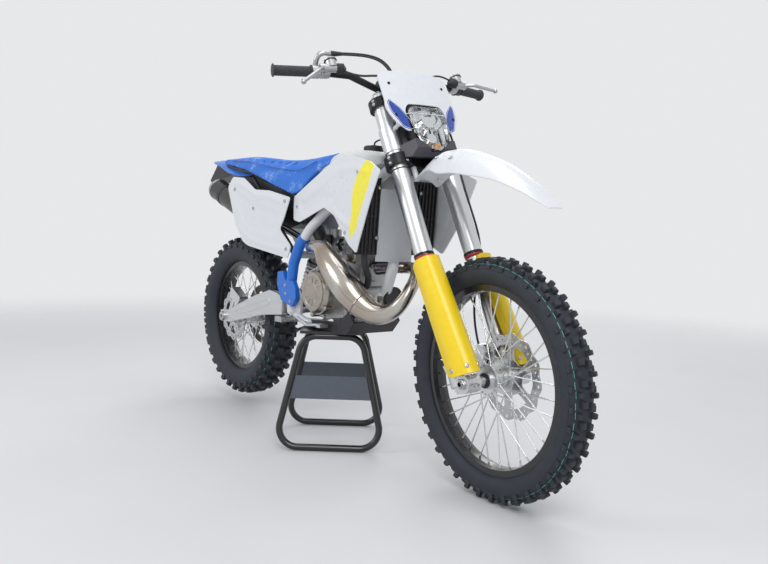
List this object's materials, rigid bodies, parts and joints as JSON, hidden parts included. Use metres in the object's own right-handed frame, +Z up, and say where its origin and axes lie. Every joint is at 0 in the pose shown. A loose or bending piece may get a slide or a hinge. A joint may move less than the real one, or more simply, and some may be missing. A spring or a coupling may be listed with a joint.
{
  "type": "dirt bike on a paddock stand",
  "caption": "Off-road motorcycle with knobby spoked wheels, tall fork, expansion pipe and plastic body panels, held on a tubular stand.",
  "frame": {"origin": "on the floor, below the middle of the bounding box", "axes": "+X forward, +Y to the rider's left, +Z up"},
  "size_m": [2.1834, 0.847, 1.3353],
  "materials": {
    "frame_white": "gloss white paint",
    "black_plastic": "moulded",
    "blue_plastic": "moulded blue",
    "engine_alloy": "cast",
    "rubber": "moulded",
    "pipe_steel": "heat tinted",
    "silencer_black": "satin",
    "arm_alloy": "machined",
    "steel": "turned",
    "chain_steel": "oiled",
    "radiator_alloy": "finned",
    "tank_plastic": "translucent",
    "seat_foam": "blue cover over foam",
    "white_plastic": "moulded white",
    "stand_black": "gloss black",
    "stand_plate": "grey",
    "clamp_black": "anodised",
    "fork_alloy": "anodised",
    "yellow_plastic": "moulded yellow",
    "bar_black": "anodised",
    "lamp_glass": "clear lens",
    "tyre": "knobby",
    "rim_black": "anodised",
    "hub_alloy": "machined",
    "disc_steel": "ground"
  },
  "bodies": {
    "chassis": {"main_frame": "frame_white", "subframe": "black_plastic", "frame_guards": "blue_plastic", "engine_cases": "engine_alloy", "clutch_cover": "engine_alloy", "cylinder": "engine_alloy", "carburettor": "engine_alloy", "intake_boots": "rubber", "airbox": "black_plastic", "exhaust_pipe": "pipe_steel", "silencer": "silencer_black", "swingarm": "arm_alloy", "pivot_bolt": "steel", "rear_axle": "steel", "chain": "chain_steel", "front_sprocket": "steel", "rear_shock": "steel", "rear_caliper": "arm_alloy", "radiators": "radiator_alloy", "radiator_louvres": "black_plastic", "fuel_tank": "tank_plastic", "tank_cap": "black_plastic", "rear_fender": "blue_plastic", "seat": "seat_foam", "tail_bracket": "black_plastic", "skid_plate": "black_plastic", "footpegs": "steel", "side_stand_carrier": "steel", "stand_frame": "stand_black", "stand_plates": "stand_plate", "horn": "black_plastic", "coolant_hose": "rubber", "shrouds": "white_plastic", "side_panels": "white_plastic", "foot_levers": "arm_alloy"},
    "steering": {"triple_clamps": "clamp_black", "fork_outers": "fork_alloy", "fork_inners": "fork_alloy", "front_axle": "steel", "fork_guards": "yellow_plastic", "handlebar": "bar_black", "grips": "rubber", "hand_levers": "arm_alloy", "front_caliper": "arm_alloy", "headlight_mask": "white_plastic", "headlight": "lamp_glass", "mask_brackets": "black_plastic", "front_fender": "white_plastic", "control_lines": "rubber"},
    "front_wheel": {"front_tyre": "tyre", "front_rim": "rim_black", "front_hub": "hub_alloy", "front_disc": "disc_steel"},
    "rear_wheel": {"rear_tyre": "tyre", "rear_rim": "rim_black", "rear_hub": "hub_alloy", "rear_disc": "disc_steel", "rear_sprocket": "steel"},
    "side_stand_leg": {"side_stand": "steel"}
  },
  "joints": [
    {"name": "steering", "type": "hinge", "parent": "chassis", "child": "steering", "pos_m": [0.68851, 0, 0.32823], "axis": [-0.4398, 0, 0.8981], "range_deg": [-38.8, 49.2]},
    {"name": "front_wheel_spin", "type": "hinge", "parent": "steering", "child": "front_wheel", "pos_m": [0.73949, -0.00518, 0.3532], "axis": [0.0816, 0.9959, 0.0399], "continuous": true},
    {"name": "rear_wheel_spin", "type": "hinge", "parent": "chassis", "child": "rear_wheel", "pos_m": [-0.747, 0, 0.385], "axis": [0, 1, 0], "continuous": true},
    {"name": "side_stand_fold", "type": "hinge", "parent": "chassis", "child": "side_stand_leg", "pos_m": [-0.2326, 0.136, 0.418], "axis": [-0.1127, -0.9321, -0.3443], "range_deg": [0, 100]}
  ]
}
